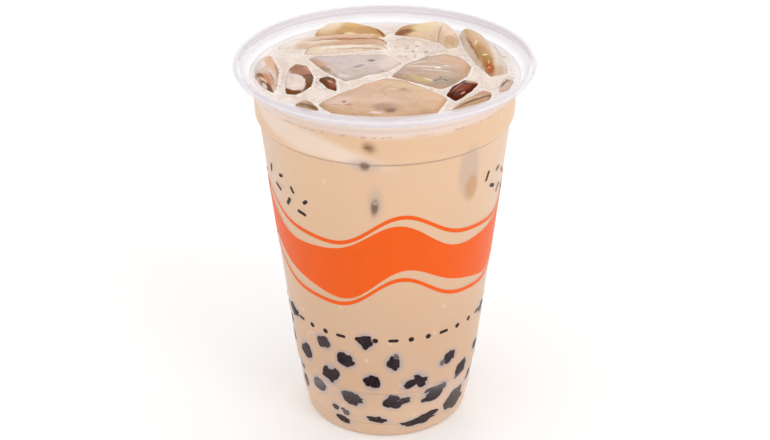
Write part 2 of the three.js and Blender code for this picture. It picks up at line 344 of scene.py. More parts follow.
class Wire:
    """A shader socket that plain arithmetic can be written on."""

    def __init__(self, finish, socket):
        self.finish = finish
        self.socket = socket

    def maths(self, operation, first, second=0.0):
        return self.finish.node("ShaderNodeMath", {"operation": operation}, {0: first, 1: second})

    def __add__(self, other):
        return self.maths("ADD", self, other)

    def __radd__(self, other):
        return self.maths("ADD", other, self)

    def __sub__(self, other):
        return self.maths("SUBTRACT", self, other)

    def __rsub__(self, other):
        return self.maths("SUBTRACT", other, self)

    def __mul__(self, other):
        return self.maths("MULTIPLY", self, other)

    def __rmul__(self, other):
        return self.maths("MULTIPLY", other, self)

    def __pow__(self, other):
        return self.maths("POWER", self, other)

    def held(self):
        """The value kept between 0 and 1."""
        return self.finish.node("ShaderNodeClamp", {}, {0: self})

    def step(self, low, high):
        """0 below low, 1 above high and a smooth rise between. With low above high it falls instead."""
        if low > high:
            return 1 - self.step(high, low)
        settings = {"interpolation_type": "SMOOTHSTEP"}
        return self.finish.node("ShaderNodeMapRange", settings, {0: self, 1: low, 2: high})

    def band(self, start, full, ease, end):
        """A rise from 0 to 1 between start and full, and a fall back to 0 between ease and end."""
        return self.step(start, full) * self.step(end, ease)


class Finish:
    """A material and the nodes in it."""

    def __init__(self, name):
        self.material = bpy.data.materials.new(name)
        self.material.use_nodes = True
        self.tree = self.material.node_tree
        self.tree.nodes.clear()

    def node(self, kind, settings=None, values=None, output=0):
        made = self.tree.nodes.new(kind)
        for name, value in (settings or {}).items():
            setattr(made, name, value)
        for name, value in (values or {}).items():
            if isinstance(value, Wire):
                self.tree.links.new(value.socket, made.inputs[name])
            else:
                made.inputs[name].default_value = value
        return Wire(self, made.outputs[output])

    def place(self):
        return self.node("ShaderNodeTexCoord", output="Object")

    def attribute(self, name):
        return self.node("ShaderNodeAttribute", {"attribute_name": name}, output="Fac")

    def height(self):
        return self.node("ShaderNodeSeparateXYZ", {}, {0: self.place()}, "Z")

    def cloud(self, size, detail=3.0, rough=0.5, warp=0.0):
        """Soft noise between 0 and 1 with lumps of about that size."""
        return self.node("ShaderNodeTexNoise", {}, {
            "Vector": self.place(), "Scale": 1 / size, "Detail": detail, "Roughness": rough,
            "Distortion": warp,
        })

    def cells(self, size):
        """Distance from the middle of cells of about that size."""
        return self.node("ShaderNodeTexVoronoi", {}, {"Vector": self.place(), "Scale": 1 / size})

    def vector(self, operation, values, output=0):
        return self.node("ShaderNodeVectorMath", {"operation": operation}, dict(enumerate(values)), output)

    def plan(self, waver, size):
        """The place on the object, pushed about a little, so that what is drawn on it has no ruled edge."""
        drift = self.node("ShaderNodeTexNoise", {}, {"Vector": self.place(), "Scale": 1 / size}, "Color")
        push = self.vector("SUBTRACT", (drift, (0.5, 0.5, 0.5)))
        return self.vector("MULTIPLY_ADD", (push, (waver, waver, waver), self.place()))

    def oval(self, plan, x, y, half_long, half_wide, turn, soft):
        """1 inside an oval seen from above and 0 outside it, with a soft edge."""
        local = self.node("ShaderNodeMapping", {"vector_type": "TEXTURE"}, {
            "Vector": plan, "Location": (x, y, 0), "Rotation": (0, 0, math.radians(turn)),
            "Scale": (half_long, half_wide, 1),
        })
        flat = self.vector("MULTIPLY", (local, (1, 1, 0)))
        size = self.vector("LENGTH", (flat,), "Value")
        return size.step(1 + soft / 2, 1 - soft / 2)

    def mix(self, share, first, second):
        return self.node("ShaderNodeMix", {"data_type": "RGBA"}, {0: share, 6: first, 7: second}, 2)

    def over(self, base, *coats):
        """The base with coats laid over it. A coat says where it lies, then its colour and strength."""
        for where, (colour, strength) in coats:
            base = self.mix(where * strength, base, paint(*colour))
        return base

    def relief(self, height, strength, distance):
        return self.node("ShaderNodeBump", {}, {"Height": height, "Strength": strength, "Distance": distance})

    def end(self, shader):
        out = self.tree.nodes.new("ShaderNodeOutputMaterial")
        self.tree.links.new(shader.socket, out.inputs["Surface"])
        return self.material

    def principled(self, values):
        """The finished material, where one principled shader is all of it."""
        return self.end(self.node("ShaderNodeBsdfPrincipled", {}, values))


def bend(start, corner, end):
    """Points of a rounded corner, without its start."""
    points = []
    for i in range(1, BEND_STEPS + 1):
        t = i / BEND_STEPS
        weights = ((1 - t) ** 2, 2 * t * (1 - t), t * t)
        points.append(tuple(sum(w * p[k] for w, p in zip(weights, (start, corner, end))) for k in range(2)))
    return points


def on_lip(angle, inwards=0.0):
    """A point of the lip's oval, or of the same oval made smaller."""
    return (
        LIP_MIDDLE[0] + (LIP_HALF_WIDTH - inwards) * math.cos(angle),
        LIP_MIDDLE[1] + (LIP_HALF_HEIGHT - inwards) * math.sin(angle),
    )


def outer_line():
    """The outer face of the cup from the middle of the raised floor's underside up to the lip."""
    floor_edge = (FLOOR_EDGE_RADIUS, FLOOR_UNDERSIDE)
    foot_inside = (FOOT_INNER_RADIUS, FLOOR_UNDERSIDE / 2)
    points = [(0, FLOOR_UNDERSIDE), floor_edge]
    points += bend(floor_edge, (FOOT_INNER_RADIUS, FLOOR_UNDERSIDE), foot_inside)
    points += bend(foot_inside, (FOOT_INNER_RADIUS, 0), (REST_INNER_RADIUS, 0))
    points.append((REST_OUTER_RADIUS, 0))
    points += bend((REST_OUTER_RADIUS, 0), FOOT_CORNER, FOOT_SIDE)
    points += [CREASE, HEEL, STEP_LOW]
    points += bend(STEP_LOW, (STEP_HIGH[0], STEP_LOW[1]), STEP_HIGH)
    points.append(LEDGE_LOW)
    points += bend(LEDGE_LOW, LEDGE_CORNER, LEDGE_HIGH)
    points.append(COLLAR_TOP)
    points += bend(COLLAR_TOP, NECK_BEND, on_lip(LIP_START_ANGLE))
    return points


def inset(points, distance):
    """The line moved towards the drink, without the points that would fold over."""
    line = np.array(points)
    steps = np.diff(line, axis=0)
    steps /= np.linalg.norm(steps, axis=1)[:, None]
    before = np.vstack([steps[:1], steps])
    after = np.vstack([steps, steps[-1:]])
    along = before + after
    along /= np.linalg.norm(along, axis=1)[:, None]
    half = (along * after).sum(1)
    moved = line + np.stack([-along[:, 1], along[:, 0]], 1) * (distance / half)[:, None]
    kept = [tuple(p) for p in moved if away_from(p, line) > distance - FOLD_TOLERANCE]
    kept[0] = (0.0, kept[0][1])
    return kept


def away_from(point, line):
    """Distance of a point from a line of points."""
    start = line[:-1]
    span = line[1:] - start
    share = ((point - start) * span).sum(1) / (span * span).sum(1)
    foot = start + span * np.clip(share, 0, 1)[:, None]
    return float(np.linalg.norm(foot - point, axis=1).min())


def radius_finder(depth):
    """A function that gives the radius of the wall at a height, at that depth below its outer face."""
    line = [p for p in inset(outer_line(), depth) if p[0] > REST_OUTER_RADIUS]
    heights = [z for _, z in line]
    radii = [r for r, _ in line]
    return lambda z: np.interp(z, heights, radii)


def spun(line, steps):
    """A shape turned about the Z axis from a line of radii and heights."""
    shape = bmesh.new()
    corners = [shape.verts.new((r, 0, z)) for r, z in line]
    edges = [shape.edges.new(pair) for pair in zip(corners, corners[1:])]
    bmesh.ops.spin(
        shape, geom=corners + edges, cent=(0, 0, 0), axis=(0, 0, 1), dvec=(0, 0, 0), angle=TURN,
        steps=steps, use_merge=True, use_normal_flip=False, use_duplicate=False,
    )
    bmesh.ops.remove_doubles(shape, verts=shape.verts[:], dist=SPIN_MERGE)
    bmesh.ops.recalc_face_normals(shape, faces=shape.faces[:])
    return shape


def piece(name, shape, material, replaced=()):
    """A finished shape as a named object that rides with the cup."""
    mesh = bpy.data.meshes.new(name)
    shape.to_mesh(mesh)
    shape.free()
    mesh.polygons.foreach_set("use_smooth", [True] * len(mesh.polygons))
    mesh.materials.append(material)
    made = bpy.data.objects.new(name, mesh)
    bpy.context.scene.collection.objects.link(made)
    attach(made, "root")
    if replaced:
        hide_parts(*replaced)
    return made


def points_of(mesh):
    places = np.zeros(len(mesh.vertices) * 3)
    mesh.vertices.foreach_get("co", places)
    return places.reshape(-1, 3)


def set_points(mesh, places):
    mesh.vertices.foreach_set("co", places.ravel())
    mesh.update()


def store(mesh, name, values):
    """One number for each point, for the material to read."""
    made = mesh.attributes.new(name, "FLOAT", "POINT")
    made.data.foreach_set("value", np.asarray(values, np.float32))


def bumps(places, size, seed=0.0):
    """Smooth noise between about -1 and 1 at each point, with lumps of about that size."""
    shift = Vector((seed, seed * 0.7, -seed))
    return np.array([noise.noise(Vector(p) / size + shift) for p in places])


def smooth_step(values, low, high):
    share = np.clip((values - low) / (high - low), 0, 1)
    return share * share * (3 - 2 * share)


def plastic():
    """Clear plastic, milkier at the lip, with two lines of painted highlight round it, a painted sheen
    on the ledge and the step, and pale where seen edge on.
    """
    finish = Finish("clear_plastic")
    height = finish.height()
    edge = finish.node("ShaderNodeLayerWeight", {}, {"Blend": 0.5}, "Facing") ** EDGE_FALL
    milk = PLAIN_MILK + height.step(*NECK_RISE) * NECK_MILK + height.step(*LIP_RISE) * LIP_MILK
    # Paler bands on the ledge and the step: a painted sheen on each bend
    milk = milk + height.band(*LEDGE_RING) * LEDGE_SHEEN + height.band(*STEP_RING) * STEP_SHEEN
    haze = finish.cloud(9 * MM, 2.0).step(0.35, 0.75) * UNEVEN_MILK
    solid = (milk + haze + edge * EDGE_MILK).held()
    # Two lines of painted highlight round the lip: on its crest and on its outer shoulder
    painted_highlight_lines = (height.step(*CREST_HIGHLIGHT_RISE) + height.band(*RIDGE_HIGHLIGHT_RING)).held()
    colour = finish.mix(painted_highlight_lines, paint(*PLASTIC_GREY), paint(*PLASTIC_HIGHLIGHT))
    skin = finish.relief(finish.cloud(26 * MM, 2.0), 0.25, 0.4 * MM)
    body = finish.node("ShaderNodeBsdfPrincipled", {}, {
        "Base Color": colour, "Roughness": 0.2, "IOR": 1.4, "Normal": skin,
    })
    clear = finish.node("ShaderNodeBsdfTransparent", {}, {"Color": (1, 1, 1, 1)})
    return finish.end(finish.node("ShaderNodeMixShader", {}, {0: solid, 1: clear, 2: body}))


def cup_wall(material):
    line = inset(outer_line(), WALL_MIDDLE)
    for i in range(CURL_STEPS + 1):
        angle = CURL_START_ANGLE + (CURL_END_ANGLE - CURL_START_ANGLE) * i / CURL_STEPS
        line.append(on_lip(angle, WALL_MIDDLE))
    wall = piece("cup_wall", spun(line, CUP_STEPS), material, ["cup"])
    thick = wall.modifiers.new("wall", "SOLIDIFY")
    thick.thickness = WALL_THICKNESS
    thick.offset = 0
    return wall


def side_line(radius_line):
    """The tea's side with its rings spaced for what they have to show."""
    points = [radius_line[0]]
    for end in radius_line[1:]:
        start = points[-1]
        middle = (start[1] + end[1]) / 2
        spacing = SIDE_SPACING_PLAIN
        if middle < PEARLS_TOP:
            spacing = SIDE_SPACING_PEARLS
        if middle > SUNK_ICE_BOTTOM:
            spacing = SIDE_SPACING_ICE
        if end[0] < FLOOR_EDGE_RADIUS:
            spacing = FLOOR_EDGE_RADIUS
        count = max(1, round(math.dist(start, end) / spacing))
        points += [tuple(a + (b - a) * i / count for a, b in zip(start, end)) for i in range(1, count + 1)]
    return points


def split_heights(line):
    """The line with a point at each height where the spacing changes, and cut off at the level."""
    made = [line[0]]
    for end in line[1:]:
        start = made[-1]
        for cut in (PEARLS_TOP, SUNK_ICE_BOTTOM, TEA_LEVEL):
            if start[1] < cut < end[1]:
                share = (cut - start[1]) / (end[1] - start[1])
                made.append((start[0] + (end[0] - start[0]) * share, cut))
                start = made[-1]
        if end[1] > TEA_LEVEL:
            return made
        made.append(end)
    return made


def ice_names():
    return [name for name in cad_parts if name.startswith("ice_")]


def merged_copy(node):
    """A copy of a node's mesh with its loose triangles joined."""
    shape = bmesh.new()
    shape.from_mesh(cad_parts[node].data)
    bmesh.ops.remove_doubles(shape, verts=shape.verts[:], dist=SOLID_MERGE)
    return shape


def ice_distance(places):
    """How far each point at the level lies outside the nearest ice, and below zero inside it."""
    nearest = np.full(len(places), 1.0)
    for node in ice_names():
        shape = merged_copy(node)
        tree = BVHTree.FromBMesh(shape)
        shape.free()
        low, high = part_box(node)
        for i in np.nonzero(
            (places[:, 0] > low.x - ICE_SEARCH) & (places[:, 0] < high.x + ICE_SEARCH)
            & (places[:, 1] > low.y - ICE_SEARCH) & (places[:, 1] < high.y + ICE_SEARCH)
        )[0]:
            here = Vector((places[i, 0], places[i, 1], TEA_LEVEL))
            gap = tree.find_nearest(here)[3]
            above, facing, _, _ = tree.ray_cast(here, Vector((0, 0, 1)))
            inside = above is not None and facing.z > 0
            nearest[i] = min(nearest[i], -gap if inside else gap)
    return nearest


def patch_share(places, patches, reach):
    """1 within the patches on the wall and falling to 0 at that distance outside them."""
    angles = np.degrees(np.arctan2(places[:, 0], -places[:, 1]))
    radii = np.hypot(places[:, 0], places[:, 1])
    share = np.zeros(len(places))
    for angle, height, wide, high, lean in patches:
        turned = (angles - angle + 180) % 360 - 180
        right = np.radians(turned) * radii
        up = places[:, 2] - height * MM
        tilt = math.radians(lean)
        u = right * math.cos(tilt) - up * math.sin(tilt)
        v = right * math.sin(tilt) + up * math.cos(tilt)
        size = np.hypot(u / (wide / 2 * MM), v / (high / 2 * MM))
        outside = (size - 1) * min(wide, high) / 2 * MM
        share = np.maximum(share, 1 - smooth_step(outside, 0, reach))
    return share


def view_frame():
    """Where the camera stands, and its axes as a matrix."""
    back = Vector((0, -math.cos(CAMERA_ELEVATION), math.sin(CAMERA_ELEVATION)))
    facing = back.to_track_quat("Z", "Y").to_matrix() @ Matrix.Rotation(ROLL, 3, "Z")
    return Vector((SIDEWAYS, 0, TARGET_HEIGHT)) + back * CAMERA_DISTANCE, facing


def on_wall(across, down, radius_at):
    """The point of the wall that the photograph shows at a pixel."""
    start, facing = view_frame()
    aim = facing @ Vector((across - PHOTO_WIDTH / 2, PHOTO_HEIGHT / 2 - down, -FOCAL_PIXELS))
    reach = np.arange(CAMERA_DISTANCE - SIGHT_REACH, CAMERA_DISTANCE + SIGHT_REACH, SIGHT_STEP)[:, None]
    points = np.array(start) + reach * np.array(aim.normalized())
    inside = (np.hypot(points[:, 0], points[:, 1]) < radius_at(points[:, 2])) & (points[:, 2] > 0)
    return points[np.argmax(inside)]


def seen(rows):
    """Rows in the photograph's pixels as angle from the front, height, the patch's size and the rest."""
    radius_at = radius_finder(0)
    placed = []
    for across, down, wide, high, *rest in rows:
        here = on_wall(across, down, radius_at)
        beside = on_wall(across + 1, down, radius_at)
        above = on_wall(across, down - 1, radius_at)
        angle = math.degrees(math.atan2(here[0], -here[1]))
        sideways = math.hypot(*(beside - here)[:2])
        upwards = math.dist(here, above)
        placed.append((angle, here[2] / MM, wide * sideways / MM, high * upwards / MM, *rest))
    return placed


def all_pearls():
    """The pearls that the photograph shows, then pearls round the sides and back that keep apart."""
    draw = random.Random(HIDDEN_SEED)
    placed = seen(PEARLS_SEEN)
    radius_at = radius_finder(PEARL_DEPTH)
    wanted = len(placed) + HIDDEN_PEARLS
    tries = 0
    while len(placed) < wanted and tries < PEARL_TRIES:
        tries += 1
        angle = draw.uniform(HIDDEN_FROM, 360 - HIDDEN_FROM)
        height = HIDDEN_LOWEST + (HIDDEN_HIGHEST - HIDDEN_LOWEST) * draw.random() ** HIDDEN_LOWERED
        wide, high = draw.uniform(*HIDDEN_WIDE), draw.uniform(*HIDDEN_HIGH)
        lean = draw.uniform(-HIDDEN_LEAN, HIDDEN_LEAN)
        radius = float(radius_at(height * MM))
        clear = True
        for other in placed:
            turned = (angle - other[0] + 180) % 360 - 180
            gap = math.hypot(math.radians(turned) * radius, (height - other[1]) * MM)
            clear = clear and gap > (wide + high + other[2] + other[3]) / 4 * MM + PEARL_APART
        if clear:
            placed.append((angle, height, wide, high, lean, draw.random() ** 2 * HIDDEN_HAZE))
    return placed


def wall_frame(angle, height, radius_at):
    """Where a patch lies on the wall, and its right, up and outward directions."""
    turn = math.radians(angle)
    low = Vector((float(radius_at(height - MM)), height - MM))
    high = Vector((float(radius_at(height + MM)), height + MM))
    slope = (high - low).normalized()
    outward_flat = Vector((math.sin(turn), -math.cos(turn), 0))
    right = Vector((math.cos(turn), math.sin(turn), 0))
    up = outward_flat * slope.x + Vector((0, 0, slope.y))
    middle = outward_flat * float(radius_at(height)) + Vector((0, 0, height))
    return middle, right, up, right.cross(up)


def pressed_pearls(pearls, material):
    """Lumps that lie against the wall, each flat where it touches."""
    radius_at = radius_finder(PEARL_DEPTH)
    shape = bmesh.new()
    narrow = math.sqrt(1 - PEARL_SINK ** 2)
    hazes = []
    for count, (angle, height, wide, high, lean, haze) in enumerate(pearls):
        middle, right, up, outward = wall_frame(angle, height * MM, radius_at)
        tilt = math.radians(lean)
        turned = Matrix((right, up, outward)).transposed() @ Matrix.Rotation(-tilt, 3, "Z")
        thick = min(PEARL_THICK, wide * MM)
        finer = PEARL_FINENESS if count < len(PEARLS_SEEN) else HIDDEN_FINENESS
        made = bmesh.ops.create_icosphere(shape, subdivisions=finer, radius=1.0)
        for corner in made["verts"]:
            lump = 1
            for fineness, share, shift in PEARL_LUMPS:
                lump += PEARL_ROUGH * share * noise.noise(corner.co * fineness + Vector(shift) * count)
            size = Vector((wide / 2 * MM / narrow, high / 2 * MM / narrow, thick))
            local = Vector(a * b * lump for a, b in zip(corner.co, size))
            local.z -= thick * PEARL_SINK
            corner.co = middle + turned @ local
            limit = float(radius_at(corner.co.z))
            far = math.hypot(corner.co.x, corner.co.y)
            if far > limit:
                corner.co.x *= limit / far
                corner.co.y *= limit / far
        hazes += [haze] * len(made["verts"])
    made = piece("tea_pearls", shape, material)
    store(made.data, "haze", hazes)


def tea():
    """Milk tea: froth on top, halos over what touches the wall, partly painted shade, lines of painted shade
    under each bend of the wall, painted shade in each hollow under the ice, and a little darker low down.
    """
    finish = Finish("milk_tea")
    height = finish.height()
    cloud = finish.cloud
    marked = finish.attribute
    # Lines of painted shade under each bend of the wall
    bend_shades = [
        (height.band(line - half, line, line, line + half), (BEND_SHADE_COLOUR, share))
        for line, half, share in BEND_SHADE_LINES
    ]
    foam = (height + cloud(26 * MM, 2.0) * FOAM_WAVER).step(*FOAM_RISE)
    side = finish.mix(height.step(*TEA_RISE), paint(*TEA_LOW), paint(*TEA_HIGH))
    side = finish.over(
        side,
        (cloud(24 * MM).step(0.42, 0.72), STREAKS),
        (marked("milky"), SWIRLS),
        (marked("shade"), SUNK_GREY),
        (marked("golden"), SUNK_GOLD),
        (marked("deep"), SUNK_DARK),
        # Grey ring round each pearl: partly the pearl seen through thin milk, partly painted shade
        (marked("pearl_halo_shade"), PEARL_HALO_SHADE),
        *bend_shades,
        (finish.cells(8 * MM).step(0.13, 0.07), FRECKLES),
        (height.step(*FOOT_FALL), PALE_FOOT),
        (foam, WALL_FOAM),
        (height.band(*DIM_RING), DIM_LINE),
        (height.band(*SPECK_RING) * cloud(1.6 * MM, 2.0).step(0.5, 0.6), SPECKS),
    )
    field = finish.oval(finish.place(), *BUBBLE_FIELD, FIELD_SOFTNESS)
    field = field + finish.oval(finish.place(), *SIDE_FIELD, FIELD_SOFTNESS)
    cream = finish.mix(cloud(9 * MM, 4.0, 0.6, 0.5).step(0.35, 0.65), paint(*CREAM), paint(*CREAM_DARK))
    cream = finish.over(
        cream,
        (cloud(6 * MM, 3.0, 0.6, 0.8).step(0.5, 0.7), BUTTERY),
        (cloud(2.4 * MM, 3.0, 0.7).step(0.5, 0.66), WHITE_FROTH),
        (cloud(1.3 * MM, 2.0, 0.7).step(0.54, 0.7), FINE_PITS),
        (marked("wall"), WHITE_EDGE),
        (field * finish.cells(3.2 * MM).step(0.3, 0.14), FIELD_PITS),
        (field * cloud(0.9 * MM, 2.0, 0.7).step(0.5, 0.62), FIELD_GRAIN),
        (marked("froth"), FROTH_RIM),
        # Painted shade, darker where the hollow under the ice is deeper
        (marked("depth"), HOLLOW_SHADE),
    )
    skin = finish.relief(cloud(0.5 * MM) * marked("top"), 0.35, 0.12 * MM)
    return finish.principled({
        "Base Color": finish.mix(marked("top"), side, cream), "Roughness": 0.42, "IOR": 1.34,
        "Normal": skin, "Subsurface Weight": 0.25, "Subsurface Radius": (1.0, 0.7, 0.45),
        "Subsurface Scale": 1.6 * MM,
    })


def tea_body(material, pearls):
    """The drink out to the wall, with its surface, the hollows for the ice and raised froth round them."""
    side = side_line(split_heights(inset(outer_line(), TEA_DEPTH)))
    edge = side[-1][0]
    top = [(edge * (1 - i / TOP_RINGS), TEA_LEVEL) for i in range(1, TOP_RINGS + 1)]
    made = piece("tea_body", spun(side + top, TEA_STEPS), material, ["milk_tea"])
    places = points_of(made.data)
    radii = np.hypot(places[:, 0], places[:, 1])
    flat = places[:, 2] > TEA_LEVEL - LEVEL_TOLERANCE
    surface = places[flat]
    gap = ice_distance(surface)
    swell = (bumps(surface, 13 * MM, 2.0) + bumps(surface, 5 * MM, 5.0) * SMALL_SWELL) * SWELL
    grain = bumps(surface, 1.3 * MM, 9.0) * GRAIN
    rim = np.exp(-((gap - RIM_AT) / RIM_WIDE) ** 2)
    uneven = RIM_MIDDLE + RIM_UNEVEN * bumps(surface, 3 * MM, 4.0)
    depth = np.clip(-gap * CAVITY_SLOPE, 0, CAVITY_DEPTH)
    climb = MENISCUS * np.exp(-(edge - radii[flat]) / MENISCUS_REACH)
    calm = smooth_step(edge - radii[flat], 0, CALM_REACH)
    raised = calm * (swell + grain + rim * uneven * RIM_HEIGHT) + climb
    places[flat, 2] += raised - depth
    set_points(made.data, places)
    count = len(places)
    froth = np.zeros(count)
    froth[flat] = np.clip(rim * uneven, 0, 1)
    sunk_depth = np.zeros(count)
    sunk_depth[flat] = depth / CAVITY_DEPTH
    on_top = flat.astype(float)
    store(made.data, "froth", froth)
    store(made.data, "depth", sunk_depth)
    store(made.data, "top", on_top)
    store(made.data, "wall", np.exp(-(edge - radii) / PALE_REACH))
    on_side = {
        "pearl_halo_shade": ([p[:5] for p in pearls], HALO_REACH),
        "milky": (MILKY, MILKY_REACH),
        "shade": (seen(SHADES_SEEN) + list(SHADES_HIDDEN), SHADE_REACH),
        "golden": (seen(GOLDEN_SEEN) + list(GOLDEN_HIDDEN), GOLDEN_REACH),
        "deep": (seen(DEEP_SEEN) + list(DEEP_HIDDEN), DEEP_REACH),
    }
    for name, (patches, reach) in on_side.items():
        store(made.data, name, patch_share(places, patches, reach) * (1 - on_top))
    return made


def pearl():
    """Cooked tapioca: near black with a dull plum sheen, greyer where milk lies over it."""
    finish = Finish("tapioca")
    plum = finish.cloud(2.2 * MM).step(0.4, 0.75)
    folds = finish.cloud(1.5 * MM, 3.0, 0.6, 1.5).step(0.52, 0.66)
    colour = finish.mix(plum, paint(*PEARL_BLACK), paint(*PEARL_PLUM))
    colour = finish.over(colour, (folds, PEARL_FOLDS), (finish.attribute("haze"), PEARL_HAZE))
    skin = finish.relief(finish.cloud(1.2 * MM, 2.0), 0.4, 0.3 * MM)
    return finish.principled({
        "Base Color": colour, "Roughness": 0.5, "Normal": skin, "Specular IOR Level": 0.03,
    })


# How far the marks on the ice waver, and over what length. One whose half width in millimetres is less
# than FINE_MARK wavers less.
WAVER = (1.3 * MM, 2.4 * MM)
FINE_WAVER = (0.6 * MM, 3.5 * MM)
FINE_MARK = 0.8
# Ice darker than DARK_ICE shines less
DARK_ICE = 150
WET_SHINE = 0.16
DULL_SHINE = 0.04
# How dark the clouds in the ice are, and how far up from the drink it is pale
CLOUDED = 0.94
SHORE_HEIGHT = 0.25 * MM
